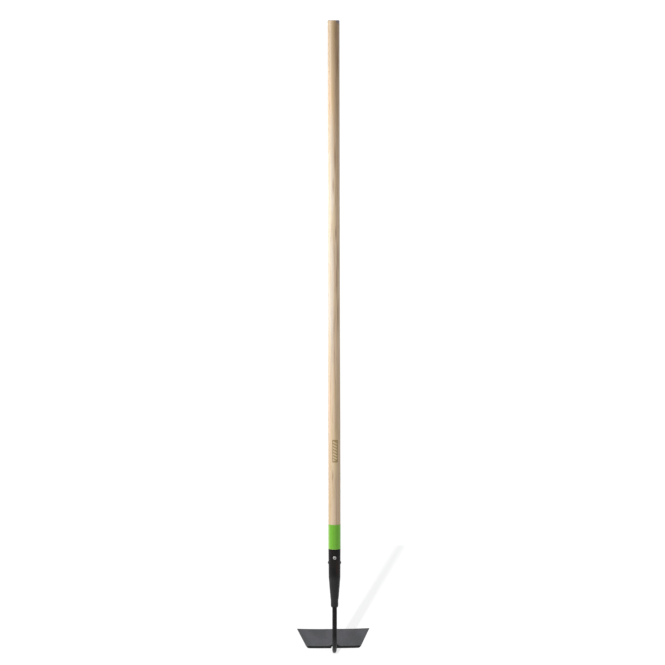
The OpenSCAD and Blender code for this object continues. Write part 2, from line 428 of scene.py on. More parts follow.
def burnt_mark(s):
    """How burnt each point of the hatched strip is, 0 to 1."""
    x, y, z = s.split(s.coord)
    across = s.math("ABSOLUTE", s.math("SUBTRACT", x, MARK_X))
    up = s.math("ABSOLUTE", s.math("SUBTRACT", z, MARK_Z))
    inside_x = s.span(across, MARK_HALF_X, MARK_HALF_X - 0.8 * MM)
    inside_z = s.span(up, MARK_HALF_Z, MARK_HALF_Z - 1 * MM)
    rim_x = s.span(across, MARK_HALF_X - 2.6 * MM, MARK_HALF_X - 1.6 * MM)
    rim_z = s.span(up, MARK_HALF_Z - 4.5 * MM, MARK_HALF_Z - 3.5 * MM)
    slant = s.math("MULTIPLY_ADD", x, HATCH_SLOPE, z)
    wave = s.math("SINE", s.math("MULTIPLY", slant, TAU / HATCH_PITCH))
    hatch = s.span(wave, -0.1, 0.5)
    ink = s.math("MAXIMUM", s.math("MAXIMUM", rim_x, rim_z), hatch)
    patchy = s.span(s.noise(s.coord, 900, 3), 0.25, 0.6, 0.45, 1.0)
    front = s.span(y, AXIS_Y - 0.002, AXIS_Y - 0.006)
    box = s.math("MULTIPLY", s.math("MULTIPLY", inside_x, inside_z), front)
    return s.math("MULTIPLY", s.math("MULTIPLY", ink, patchy), box)


# Wood across one growth ring: (place in the ring, colour)
RING_TONES = (
    (0.0, (0.530, 0.360, 0.225)), (0.10, (0.60, 0.43, 0.28)), (0.34, (0.77, 0.61, 0.435)),
    (0.80, (0.80, 0.655, 0.48)), (1.0, (0.66, 0.50, 0.34)),
)
# Tint of the wood along the handle, darker towards the socket and the butt, partly the wood's own
# tone and partly painted shade: (share of the way up, factor)
HEIGHT_TINTS_AND_SHADE = (
    (0.20, (0.80, 0.74, 0.68)), (0.38, (0.86, 0.82, 0.76)), (0.54, (1.0, 0.98, 0.94)),
    (0.72, (1.0, 0.97, 0.92)), (0.84, (0.83, 0.775, 0.69)), (0.965, (0.64, 0.57, 0.48)),
)
PLAIN = (1.0, 1.0, 1.0)
BROAD_TINT = (0.93, 0.84, 0.74)
PINK_WOOD = (0.74, 0.50, 0.365)
PALE_FIBRE = (0.90, 0.79, 0.64)
YELLOW_WOOD = (0.71, 0.555, 0.315)
ROSY_WOOD = (0.87, 0.665, 0.565)
# Greyer wood for the painted sheen on the handle's left side
SHEEN_GREY_WOOD = (0.675, 0.61, 0.53)
HEARTWOOD_DARK = (0.78, 0.575, 0.41)
HEARTWOOD_PALE = (0.90, 0.715, 0.54)
HANDLED_WOOD = (0.665, 0.545, 0.395)
FINE_LINE = (0.42, 0.275, 0.165)
PORE = (0.33, 0.21, 0.13)
STREAK = (0.36, 0.22, 0.12)
# Painted shade on the butt's chamfer, a dark purplish grey
BUTT_SHADE_GREY = (0.27, 0.235, 0.285)
OIL_STAIN = (0.80, 0.63, 0.33)
BURNT = (0.27, 0.170, 0.045)

# Dark streaks on the front of the handle: (across, height, half length)
STREAKS = ((0.0045, 1.492, 0.034), (0.0085, 1.420, 0.050), (0.0020, 1.196, 0.050),
           (-0.0020, 1.128, 0.030), (0.0090, 0.957, 0.055), (0.0088, 0.822, 0.070),
           (0.0062, 0.905, 0.060), (-0.0045, 0.436, 0.020))


def sides_of_the_log(s, colour, patch, fibre):
    """A greyer, paler left side, which is a painted sheen, warmer wood right of the middle, handled
    wood near the butt.
    """
    x, _, z = s.split(s.coord)
    rosy = s.math("MULTIPLY", s.span(patch, 0.50, 0.66), s.span(x, 0.004, -0.012))
    colour = s.mix(s.math("MULTIPLY", rosy, 0.6), colour, ROSY_WOOD)
    left = s.span(x, 0.003, -0.006)
    # Greyer, paler wood on the left side over the middle of the handle: a painted sheen.
    pale_painted_sheen = s.math("MULTIPLY", s.span(z, 0.60, 0.80), s.span(z, 1.36, 1.22))
    pale_painted_sheen = s.math("MULTIPLY", s.math("MULTIPLY", pale_painted_sheen, left), s.span(patch, 0.34, 0.52, 0.55, 0.9))
    colour = s.mix(pale_painted_sheen, colour, SHEEN_GREY_WOOD)
    warm = s.math("MULTIPLY", s.span(x, 0.0005, 0.004), s.span(x, 0.012, 0.008))
    warm = s.math("MULTIPLY", warm, s.span(z, 0.62, 0.72, 0.0, 0.65))
    colour = s.mix(warm, colour, s.mix(fibre, HEARTWOOD_DARK, HEARTWOOD_PALE))
    handled = s.math("MULTIPLY", left, s.span(z, 1.30, 1.44, 0.0, 0.85))
    return s.mix(handled, colour, HANDLED_WOOD)


def dark_marks(s, streaks):
    """How dark the knot and the streaks on the front are, 0 to 1."""
    marks = s.blob(s.coord, (0.004, AXIS_Y - 0.0135, 1.016), (0.0035, 0.008, 0.028))
    for across, height, half_length in STREAKS:
        centre = (across, AXIS_Y - 0.012, height)
        marks = s.math("MAXIMUM", marks, s.blob(s.coord, centre, (0.0034, 0.016, half_length)))
    return s.math("MULTIPLY", marks, s.span(streaks, 0.25, 0.6, 0.5, 1.0))


def ash_wood():
    """Sanded ash under a thin clear coat, with the marks of use that the handle has."""
    s = Shader("ash_wood")
    place, streaks, broad = growth_rings(s)
    tone = s.mix(s.span(broad, 0.35, 0.66), BROAD_TINT, PLAIN)
    colour = s.mix(1.0, s.ramp(place, RING_TONES), tone, "MULTIPLY")
    pink = s.stretched((9, 2, 5), (80, 80, 2.2))
    colour = s.mix(s.span(pink, 0.5, 0.75, 0.0, 0.55), colour, PINK_WOOD)
    fibre = s.span(streaks, 0.30, 0.70)
    colour = s.mix(s.math("MULTIPLY", fibre, 0.30), colour, PALE_FIBRE)
    patch = s.stretched((5, 8, 2), (95, 95, 9), 3, 0.55)
    colour = s.mix(s.span(patch, 0.36, 0.52, 0.55, 0.0), colour, YELLOW_WOOD)
    colour = sides_of_the_log(s, colour, patch, fibre)
    lines = s.stretched((8, 3, 5), (640, 640, 13))
    colour = s.mix(s.span(lines, 0.64, 0.74, 0.0, 0.42), colour, FINE_LINE)
    # Darker towards the socket and the butt: partly the wood's tone, partly painted shade.
    share_up = s.math("DIVIDE", s.split(s.coord)[2], BUTT_Z)
    colour = s.mix(1.0, colour, s.ramp(share_up, HEIGHT_TINTS_AND_SHADE), "MULTIPLY")
    pores = s.stretched((1, 1, 6), (1500, 1500, 38))
    pores = s.math("MULTIPLY", s.span(pores, 0.54, 0.66), s.span(place, 0.42, 0.05))
    colour = s.mix(s.math("MULTIPLY", pores, 0.55), colour, PORE)
    colour = s.mix(s.math("MULTIPLY", dark_marks(s, streaks), 0.75), colour, STREAK)
    # Dark purplish grey patch at the right front of the butt: painted shade on the chamfer.
    butt_painted_shade = s.blob(s.coord, (0.0110, AXIS_Y - 0.0095, BUTT_Z), (0.0086, 0.013, 0.0130))
    butt_painted_shade = s.span(butt_painted_shade, 0.12, 0.45)
    colour = s.mix(s.math("MULTIPLY", butt_painted_shade, 0.85), colour, BUTT_SHADE_GREY)
    oily = s.blob(s.coord, (0.003, AXIS_Y - 0.0135, 0.487), (0.008, 0.010, 0.075))
    colour = s.mix(s.math("MULTIPLY", oily, 0.55), colour, OIL_STAIN)
    burnt = burnt_mark(s)
    colour = s.mix(s.math("MULTIPLY", burnt, 0.85), colour, BURNT)
    rough = s.span(fibre, 0.0, 1.0, 0.52, 0.42)
    s.set(Base_Color=colour, Roughness=s.math("MULTIPLY_ADD", pores, 0.2, rough))
    s.set(Specular_IOR_Level=0.35, Coat_Weight=0.12, Coat_Roughness=0.35)
    relief = s.bump(streaks, 0.00012, 0.5)
    relief = s.bump(s.math("MULTIPLY", pores, -1.0), 0.00012, 0.6, relief)
    relief = s.bump(s.math("MULTIPLY", burnt, -1.0), 0.00035, 0.7, relief)
    s.set(Normal=relief)
    return s.material


def green_paint():
    """Semi-gloss green with the grain showing through, rubbed at its ends; its left side is painted
    paler, a painted sheen.
    """
    s = Shader("green_paint")
    _, streaks, broad = growth_rings(s)
    tone = s.mix(s.span(streaks, 0.3, 0.7), (0.155, 0.440, 0.029), (0.190, 0.510, 0.040))
    tone = s.mix(s.span(broad, 0.35, 0.65, 0.0, 0.35), tone, (0.125, 0.380, 0.020))
    x, _, z = s.split(s.coord)
    rub = s.stretched((4, 4, 4), (700, 700, 180), 4)
    top = s.span(z, BAND_HI.z - 0.004, BAND_HI.z)
    low = s.span(z, BAND_LO.z + 0.003, BAND_LO.z)
    worn = s.math("MULTIPLY", s.math("MAXIMUM", top, low), s.span(rub, 0.52, 0.66))
    # Paler, yellower green towards the left edge: a painted sheen.
    green_painted_sheen = s.span(x, -0.0095, -0.0140, 0.0, 0.6)
    tone = s.mix(green_painted_sheen, tone, (0.33, 0.53, 0.12))
    colour = s.mix(s.math("MULTIPLY", worn, 0.7), tone, (0.62, 0.60, 0.33))
    s.set(Base_Color=colour, Roughness=s.span(s.noise(s.coord, 240, 3), 0.3, 0.7, 0.27, 0.40))
    s.set(Specular_IOR_Level=0.3, Coat_Weight=0.12, Coat_Roughness=0.35)
    relief = s.bump(streaks, 0.00010, 0.6)
    relief = s.bump(s.noise(s.coord, 900, 3), 0.00004, 0.5, relief)
    s.set(Normal=relief)
    return s.material


BLACK_COOL, BLACK_WARM = (0.0040, 0.0036, 0.0036), (0.0100, 0.0074, 0.0066)
SOCKET_GREY = (0.024, 0.025, 0.024)
# Grey of the rod round its bend: painted light from the floor below
ROD_GREY_FLOOR_LIGHT = (0.030, 0.030, 0.030)
RUST = (0.026, 0.0105, 0.0075)
PAINT_SPECK = (0.075, 0.073, 0.070)
ZINC_DARK, ZINC_PALE = (0.50, 0.49, 0.48), (0.74, 0.74, 0.73)
RIVET_DARK, RIVET_PALE = (0.10, 0.10, 0.105), (0.22, 0.22, 0.22)


def black_paint(name, grey, specular, from_z, to_z, rust=False):
    """Satin black paint over forged steel; it turns greyer from one height down to another."""
    s = Shader(name)
    cloud = s.stretched((1, 2, 3), (60, 60, 26), 3)
    colour = s.mix(s.span(cloud, 0.35, 0.68), BLACK_COOL, BLACK_WARM)
    share = s.span(s.split(s.coord)[2], from_z, to_z, 0.0, 0.85)
    colour = s.mix(s.math("MULTIPLY", share, s.span(cloud, 0.2, 0.7, 0.55, 1.0)), colour, grey)
    if rust:
        warm = s.blob(s.coord, (0.007, AXIS_Y - 0.013, 0.212), (0.006, 0.010, 0.030))
        colour = s.mix(s.math("MULTIPLY", warm, 0.8), colour, RUST)
    speck = s.noise(s.coord, 1700, 2)
    colour = s.mix(s.span(speck, 0.66, 0.76, 0.0, 0.5), colour, PAINT_SPECK)
    s.set(Base_Color=colour, Specular_IOR_Level=specular)
    s.set(Roughness=s.span(s.noise(s.coord, 300, 4), 0.3, 0.7, 0.30, 0.46))
    relief = s.bump(s.noise(s.coord, 160, 3), 0.00045, 0.45)
    relief = s.bump(s.noise(s.coord, 1100, 3, 0.6), 0.00006, 0.6, relief)
    s.set(Normal=relief)
    return s.material


def grey_paint():
    """Blade: soft vertical patches of warmer and bluer grey, ground metal along the bevel, and a
    near-black strip along the turned-down shoulder edge, which is painted shade.
    """
    s = Shader("grey_paint")
    broad = s.stretched((3, 9, 2), (26, 9, 30), 3)
    colour = s.mix(s.span(broad, 0.36, 0.64), (0.098, 0.099, 0.105), (0.126, 0.126, 0.136))
    mottled = s.noise(s.coord, 210, 5, 0.62)
    colour = s.mix(s.span(mottled, 0.42, 0.66, 0.0, 0.35), colour, (0.072, 0.074, 0.080))
    fleck = s.noise(s.coord, 2100, 2)
    colour = s.mix(s.span(fleck, 0.65, 0.74, 0.0, 0.4), colour, (0.20, 0.20, 0.205))
    _, y, z = s.split(s.coord)
    along = s.math("MULTIPLY", s.math("SUBTRACT", y, SHEET_Y), math.cos(TILT))
    climb = s.math("MULTIPLY", s.math("SUBTRACT", z, SHEET_Z), math.sin(TILT))
    reach = s.math("ADD", along, climb)
    uneven = s.math("MULTIPLY", s.math("SUBTRACT", s.noise(s.coord, 70, 3), 0.5), 0.0016)
    ground = s.span(s.math("ADD", reach, uneven), DEPTH - BEVEL - 0.0003, DEPTH - BEVEL + 0.0003)
    scratch = s.stretched((0, 0, 0), (90, 2600, 2600), 3, 0.6)
    steel = s.mix(s.span(scratch, 0.3, 0.7), (0.062, 0.063, 0.066), (0.105, 0.105, 0.110))
    colour = s.mix(s.math("MULTIPLY", ground, 0.85), colour, steel)
    # Near-black strip along the turned-down shoulder edge: painted shade.
    fold = s.span(s.math("ADD", reach, s.math("MULTIPLY", uneven, 0.4)), 0.0030, 0.0012)
    colour = s.mix(s.math("MULTIPLY", fold, 0.97), colour, (0.005, 0.005, 0.005))
    s.set(Base_Color=colour, Specular_IOR_Level=0.25)
    s.set(Roughness=s.span(s.noise(s.coord, 260, 4), 0.3, 0.7, 0.38, 0.52))
    relief = s.bump(s.noise(s.coord, 120, 4), 0.00030, 0.5)
    relief = s.bump(s.noise(s.coord, 1300, 3, 0.6), 0.00005, 0.6, relief)
    relief = s.bump(s.math("MULTIPLY", scratch, ground), 0.00006, 0.7, relief)
    s.set(Normal=relief)
    return s.material


def steel(name, dark, light, rough_low, rough_high, scratches):
    """Bare metal, spotted between two greys; scratches is how many there are per metre."""
    s = Shader(name)
    spots = s.noise(s.coord, 650, 4, 0.6)
    colour = s.mix(s.span(spots, 0.35, 0.68), dark, light)
    s.set(Base_Color=colour, Metallic=1.0)
    s.set(Roughness=s.span(s.noise(s.coord, 1500, 3), 0.3, 0.7, rough_low, rough_high))
    s.set(Normal=s.bump(s.noise(s.coord, scratches, 3), 0.00006, 0.7))
    return s.material


def pale_floor():
    """Near white, and it glows a little so that it meets the white backdrop with no edge."""
    s = Shader("pale_floor")
    tone = s.mix(s.span(s.noise(s.coord, 3.0, 4), 0.3, 0.7), (0.79, 0.79, 0.79), (0.81, 0.81, 0.81))
    s.set(Base_Color=tone, Roughness=0.9, Specular_IOR_Level=0.05)
    s.set(Emission_Color=(1, 1, 1, 1), Emission_Strength=0.75)
    return s.material


# ---- handle

FIT = 0.06 * MM  # free space between the wood and the socket's wall
STEP_GAP = 0.1 * MM  # between the socket's lip and the step in the wood
TURNING = 0.09 * MM  # depth of the marks left by turning and sanding


def wood_radius(z):
    """Outer radius of the wood above the ferrule."""
    return lerp(SHANK_R, GRIP_R, smoothstep(SWELL_LOW_Z, SWELL_HIGH_Z, z))


def turned_ripple(angle, z, radius):
    """Slight unevenness left by turning and sanding, always inwards."""
    where = (radius * math.sin(angle), radius * math.cos(angle), z * 0.25)
    return -TURNING * (1 + jitter(where, 60, 3.1))


def make_handle(material):
    """Ash pole from its hidden cone in the socket to the chamfered butt."""
    top = BUTT_Z
    step_z = FERRULE_HI.z + STEP_GAP
    profile = [(0, HANDLE_LO.z), (7.2 * MM, HANDLE_LO.z), (8.3 * MM, HANDLE_LO.z + 1 * MM),
               (TAPER_R - WALL - FIT, TAPER_Z), (LIP_R - WALL - FIT, step_z)]
    profile = densify(profile, 6 * MM)
    profile += [(SHANK_R - 0.8 * MM, step_z)]
    profile += arc((SHANK_R - 0.7 * MM, step_z + 0.7 * MM), 0.7 * MM, -90, 0, 5)
    z = step_z + 3 * MM
    while z < top - 8 * MM:
        profile.append((wood_radius(z), z))
        z += 6 * MM
    profile.append((GRIP_R, top - CHAMFER - 2 * MM))
    profile += arc((GRIP_R - 0.5 * MM, top - CHAMFER - 0.2 * MM), 0.5 * MM, 0, 45, 4)
    profile += arc((GRIP_R - CHAMFER - 0.3 * MM, top - 0.5 * MM), 0.5 * MM, 45, 90, 4)
    profile += [(r * MM, top) for r in (10, 7, 4, 1.6)]
    profile += [(1.1 * MM, top - 0.35 * MM), (0, top - 0.75 * MM)]
    piece = revolve("handle_wood", profile, upright, material, 112, turned_ripple, 35)
    drill_front_rivet(piece)
    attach(piece, "root")
    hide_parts("handle")


def make_band(material):
    """Painted sleeve with soft, slightly wavy edges."""
    low, high = BAND_LO.z, BAND_HI.z
    outer = BAND_HI.x
    inner = outer - BAND_T
    lip = 0.14 * MM
    profile = [(inner, low)]
    profile += arc((outer - lip, low + lip), lip, -90, 0, 4)
    profile += densify([(outer, low + 1 * MM), (outer, high - 1 * MM)], 3 * MM)
    profile += arc((outer - lip, high - lip), lip, 0, 90, 4)
    profile += [(inner, high)]

    def wavy(radius, angle, z):
        near = max(smoothstep(low + 3 * MM, low, z), smoothstep(high - 3 * MM, high, z))
        where = (radius * math.sin(angle), radius * math.cos(angle), z)
        uneven = (1 + jitter(where, 130, 8.2)) * near
        z += 0.03 * MM * uneven if z < (low + high) / 2 else -0.22 * MM * uneven
        return upright(radius, angle, z)

    piece = revolve("green_band", profile, wavy, material, 128)
    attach(piece, "root")
    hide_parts("colour_band")


# ---- ferrule

def ferrule_radius(z):
    """Outer radius of the socket at a height above its collar."""
    taper = lerp(TAPER_END_R, TAPER_R, (z - COLLAR_TOP_Z) / (TAPER_Z - COLLAR_TOP_Z))
    upper = lerp(TAPER_R, LIP_R, (z - TAPER_Z) / (FERRULE_HI.z - TAPER_Z))
    return lerp(taper, upper, smoothstep(TAPER_Z - 3 * MM, TAPER_Z + 3 * MM, z))


def forged_ripple(angle, z, radius):
    """Shallow hammer marks, strongest on the taper and the collar; none at the lip."""
    where = (radius * math.sin(angle), radius * math.cos(angle), z * 0.6)
    low_part = smoothstep(TAPER_Z + 15 * MM, TAPER_Z - 20 * MM, z)
    depth = lerp(0.05, 0.26, low_part) * MM * smoothstep(FERRULE_HI.z, FERRULE_HI.z - 6 * MM, z)
    return depth * (jitter(where, 110, 5.3) - 0.35)


def make_ferrule(material):
    """Hollow tapered socket: collar, taper, straight upper part and rolled lip."""
    low, high = FERRULE_LO.z, FERRULE_HI.z
    edge = 1.6 * MM
    lip = 0.45 * MM
    hole = ROD_R + 0.04 * MM
    floor_z = NECK_HI.z + 0.5 * MM
    profile = [(hole, low)]
    profile += arc((COLLAR_R - edge, low + edge), edge, -90, 0, 7)
    profile += [(COLLAR_R, COLLAR_TOP_Z - 5 * MM), (COLLAR_R + 0.05 * MM, COLLAR_TOP_Z - 3 * MM),
                (COLLAR_R + 0.18 * MM, COLLAR_TOP_Z - 1.2 * MM),
                (TAPER_END_R - 0.14 * MM, COLLAR_TOP_Z + 0.8 * MM)]
    z = COLLAR_TOP_Z + 3 * MM
    while z < high - 2 * MM:
        profile.append((ferrule_radius(z), z))
        z += 2 * MM
    profile += arc((LIP_R - lip, high - lip), lip, 0, 90, 5)
    profile += [(LIP_R - WALL + 0.3 * MM, high), (LIP_R - WALL, high - 0.3 * MM)]
    inside = [(LIP_R - WALL, high - 0.3 * MM), (TAPER_R - WALL, TAPER_Z),
              (ferrule_radius(floor_z) - WALL, floor_z), (hole, floor_z), (hole, low)]
    profile += densify(inside, 5 * MM)[1:-1]

    def outer_only(angle, height, radius):
        outside = radius > ferrule_radius(max(height, COLLAR_TOP_Z)) - 0.9 * MM
        return forged_ripple(angle, height, radius) if outside else 0

    piece = revolve("ferrule_socket", densify(profile, 3 * MM), upright, material, 112, outer_only)
    drill_front_rivet(piece)
    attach(piece, "root")
    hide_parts("ferrule")


# ---- rivets

RIVET_R = 2.3 * MM
HEAD_R = 3.7 * MM
HEAD_H = 1.9 * MM
EYE_R = 1.9 * MM
EYE_DEPTH = 5 * MM
RING_R = 4.0 * MM
ROLL_R = 0.9 * MM  # of the edge that is rolled over into the ring
FRONT_Z = (FRONT_LO.z + FRONT_HI.z) / 2
CROSS_Z = (CROSS_LO.z + CROSS_HI.z) / 2
FRONT_REACH = AXIS_Y - FRONT_LO.y
BACK_REACH = FRONT_HI.y - AXIS_Y


def drill_front_rivet(piece):
    """The rivet is hollow in front, so wood and socket have its bore."""
    start = (0, AXIS_Y - 0.03, FRONT_Z)
    end = (0, AXIS_Y, FRONT_Z)
    drill(piece, start, end, RIVET_R - 0.25 * MM)


def dome(base, rise, radius, steps=8):
    """(radius, height) pairs over a domed head, from its rim to its top."""
    ball = (radius * radius + rise * rise) / (2 * rise)
    first = math.asin(min(1, radius / ball))
    out = []
    for i in range(steps):
        a = first * (1 - i / steps)
        out.append((ball * math.sin(a), base + rise - ball * (1 - math.cos(a))))
    out.append((0, base + rise))
    return out


def make_front_rivet(material):
    """Semi-tubular rivet: its front end is rolled over into a ring, its back end is a dome."""
    seat = FRONT_REACH - ROLL_R
    roll = (RING_R - 0.95 * MM, seat)
    profile = [(0, seat - EYE_DEPTH), (EYE_R, seat - EYE_DEPTH), (EYE_R, seat - 0.8 * MM)]
    profile += [(EYE_R, seat), (EYE_R + 0.12 * MM, seat + 0.45 * MM)]
    profile += arc(roll, ROLL_R, 128, -10, 12)
    profile += [(RING_R, seat - ROLL_R), (RIVET_R, seat - ROLL_R)]
    back = LIP_R - 0.16 * MM
    profile += densify([(RIVET_R, seat - 2 * MM), (RIVET_R, 0.6 * MM - back)], 4 * MM)
    profile += [(HEAD_R, 0.6 * MM - back), (HEAD_R, -back)]
    profile += [(r, -h) for r, h in dome(back, BACK_REACH - back, HEAD_R)[1:]]

    def place(radius, angle, height):
        split = smoothstep(0.34, 0.10, abs(angle - math.pi / 2)) if height > seat else 0
        height -= 0.75 * MM * split * smoothstep(EYE_R, HEAD_R, radius)
        where = (radius * math.cos(angle), radius * math.sin(angle), height)
        beat = 0.07 * MM * jitter(where, 900, 2.4)
        height -= abs(beat) if height > seat else 0
        return (radius * math.sin(angle), AXIS_Y - height, FRONT_Z + radius * math.cos(angle))

    piece = revolve("front_rivet_ring", profile, place, material, 48)
    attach(piece, "root")
    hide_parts("front_rivet")


def make_cross_rivet(material):
    """Solid rivet from left to right with a hammered dome at both ends."""
    reach = CROSS_HI.x
    seat = reach - HEAD_H
    head = dome(seat, HEAD_H, HEAD_R, 9)
    flank = [(HEAD_R, seat - 0.8 * MM), (RIVET_R, seat - 0.8 * MM)]
    right = [(r, h) for r, h in reversed(head)] + flank
    left = [(r, -h) for r, h in reversed(right)]
    profile = right + densify([(RIVET_R, seat - 2 * MM), (RIVET_R, 2 * MM - seat)], 4 * MM) + left

    def place(radius, angle, height):
        y, z = radius * math.cos(angle), radius * math.sin(angle)
        beat = 0.16 * MM * abs(jitter((y, z, height), 420, 6.6)) if abs(height) > seat else 0
        height -= math.copysign(beat, height)
        return (height, AXIS_Y + y, CROSS_Z + z)

    piece = revolve("cross_rivet_steel", profile, place, material, 48)
    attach(piece, "root")
    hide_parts("cross_rivet")


# ---- neck

def neck_line():
    """Centres and radii down the rod, round the bend and out along the blade's groove."""
    path, radii = [], []
    top = NECK_HI.z
    for z in (top, top - 0.4 * MM, top - 1.2 * MM):
        path.append((0, AXIS_Y, z))
        radii.append(ROD_R - 1.2 * MM + (top - z))
    z = top - 3 * MM
    while z > BEND_Z + 1 * MM:
        path.append((0, AXIS_Y, z))
        radii.append(ROD_R)
        z -= 3 * MM
    steps = 36
    for i in range(steps + 1):
        a = BEND_ANGLE * i / steps
        r = lerp(ROD_R, ROD_R - 0.75 * MM, smoothstep(math.radians(15), math.radians(85), a))
        reach = BEND_R + ROD_R - r
        path.append((0, AXIS_Y + BEND_R - reach * math.cos(a), BEND_Z - reach * math.sin(a)))
        radii.append(r)
    end = Vector(path[-1])
    along = Vector((0, math.sin(BEND_ANGLE), -math.cos(BEND_ANGLE)))
    full = LEAD + POINT
    length = 2 * MM
    while length < full - 1 * MM:
        path.append(tuple(end + along * length))
        radii.append(lerp(ROD_R - 0.75 * MM, POINT_R, smoothstep(0, full, length)))
        length += 2 * MM
    for back, share in ((0.9, 0.95), (0.45, 0.75), (0.15, 0.4)):
        path.append(tuple(end + along * (full - back * MM)))
        radii.append(POINT_R * share)
    return path, radii


def make_neck(material):
    """Forged rod, slightly uneven all round."""
    path, radii = neck_line()

    def forged(t, angle):
        where = (math.cos(angle) * 0.006, math.sin(angle) * 0.006, t * 0.12)
        return 1 - 0.012 * (1 + jitter(where, 170, 4.4))

    piece = sweep("neck_rod", path, radii, (1, 0, 0), material, 40, forged)
    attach(piece, "root")
    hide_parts("neck")


def make_socket_weld(material):
    """Rippled ring of weld that closes the corner between socket and rod."""
    weld_z = FERRULE_LO.z
    tube = 1.9 * MM
    ring_r = ROD_R + 0.75 * MM
    rows, around = 150, 16
    points = []
    for i in range(rows):
        a = TAU * i / rows
        beat = abs(math.sin(a * 11 + 0.5 * math.sin(3 * a)))
        size = tube * (0.86 + 0.14 * beat + 0.05 * jitter((math.cos(a), math.sin(a), 0), 2, 7.7))
        for j in range(around):
            b = TAU * j / around
            r = ring_r + size * 0.95 * math.cos(b)
            z = weld_z - 0.55 * MM + size * math.sin(b)
            points.append((r * math.sin(a), AXIS_Y - r * math.cos(a), z))
    count = len(points)
    faces = [tuple(v % count for v in face) for face in loops_to_faces(rows + 1, around)]
    piece = new_piece("socket_weld_ring", points, faces, material, 60)
    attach(piece, "root")
    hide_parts("socket_weld")


# ---- blade

INSET = 3.8 * MM  # of the grid's rim from the outline
SKEW = 1.4 * MM  # of the shoulder edge, to the left
FOLD_FROM = 5.6 * MM  # the shoulder edge is turned down from here outwards,
FOLD_TO = 6.6 * MM  # clear of the rod
CORNER_STEPS = 8  # rows round each shoulder corner
NEAR_RIB = 18 * MM  # half width of the evenly spaced columns
NEAR_STEPS = 24
SIDE_STEPS = 26
FINE_ROW, COARSE_ROW = 1.4 * MM, 3 * MM
SIDE_ANGLE = math.atan2(DEPTH, EDGE_HALF - SHOULDER_HALF)
CORNER_RUN = SHOULDER_R * math.tan(SIDE_ANGLE / 2)
CORNER_X = SHOULDER_HALF - CORNER_RUN


def skewed(x, y):
    """The shoulder edge sits slightly to the left of the rib; the cutting edge does not."""
    return x - SKEW * (1 - y / DEPTH) * smoothstep(16 * MM, 40 * MM, abs(x))


def on_sheet(x, y, z):
    """A point in the blade's own axes, as a point in the row frame."""
    c, s = math.cos(TILT), math.sin(TILT)
    return (x, SHEET_Y + y * c - z * s, SHEET_Z + y * s + z * c)


def rib_z(x, y):
    """Height of the pressed rib above the flat of the sheet."""
    share = 1 - y / RIB_LENGTH
    if share <= 0:
        return 0.0
    half = RIB_HALF * 1.12 * share
    t = abs(x) / max(half, 1e-6)
    if t >= 1:
        return 0.0
    crown = math.cos(math.pi / 2 * t) ** 1.55
    return RIB_H * crown * share * smoothstep(0, 0.12, share)


def bow_z(x, y):
    """The sheet's slight dish and twist, and its unevenness."""
    side = x / EDGE_HALF
    dish = 1.5 * MM * side * side * smoothstep(0.1, 1.0, abs(side))
    uneven = 0.16 * MM * jitter((x, y, 0), 28, 9.4) * smoothstep(0.15, 0.5, abs(side))
    return dish + 0.25 * MM * side + uneven


def top_z(x, y):
    """Height of the blade's upper face, ground down along the bevel."""
    z = SHEET_T / 2 + rib_z(x, y) + bow_z(x, y)
    wobble = 0.35 * MM * jitter((x, 0, 0), 45, 1.9)
    over = y - (DEPTH - BEVEL + wobble)
    if over > 0:
        z -= over * (SHEET_T - EDGE_T) / (BEVEL - wobble)
    return z


def bottom_z(x, y):
    """Height of its lower face, one sheet's thickness under the upper one."""
    step = 0.2 * MM
    slope = (rib_z(x + step, y) - rib_z(x - step, y)) / (2 * step)
    thick = SHEET_T * math.sqrt(1 + min(slope * slope, 1.0))
    return SHEET_T / 2 + rib_z(x, y) + bow_z(x, y) - thick


def half_width(y, inset):
    """Half width of the outline, drawn in by inset, at a distance from the shoulder edge."""
    slant = (EDGE_HALF - SHOULDER_HALF) / DEPTH
    line = SHOULDER_HALF + slant * y - inset * math.sqrt(1 + slant * slant)
    radius = SHOULDER_R - inset
    if y < SHOULDER_R:
        rise = radius * radius - (SHOULDER_R - y) ** 2
        line = min(line, CORNER_X + math.sqrt(max(rise, 0)))
    return line


def sheet_rows():
    """Distances from the shoulder edge for the rows of the blade's grid."""
    rows = []
    for i in range(CORNER_STEPS + 1):
        a = SIDE_ANGLE * i / CORNER_STEPS
        rows.append(SHOULDER_R - (SHOULDER_R - INSET) * math.cos(a))
    y = rows[-1] + FINE_ROW
    crease = DEPTH - BEVEL
    while y < crease - 1.5 * MM:
        rows.append(y)
        y += FINE_ROW if y < RIB_LENGTH + 3 * MM else COARSE_ROW
    rows += [crease - 0.6 * MM, crease, crease + 0.6 * MM, crease + 1.6 * MM, DEPTH - INSET]
    return rows


def sheet_columns():
    """Columns as (x near the rib, share of the way from there to the side)."""
    inner = [NEAR_RIB * i / NEAR_STEPS for i in range(-NEAR_STEPS, NEAR_STEPS + 1)]
    outer = [i / SIDE_STEPS for i in range(1, SIDE_STEPS + 1)]
    return ([(-NEAR_RIB, -q) for q in reversed(outer)] + [(x, 0) for x in inner]
            + [(NEAR_RIB, q) for q in outer])


def column_x(column, half):
    """Distance of a column from the middle, in a row of this half width."""
    x, share = column
    if share == 0:
        return x
    return math.copysign(lerp(abs(x), half, abs(share)), share)


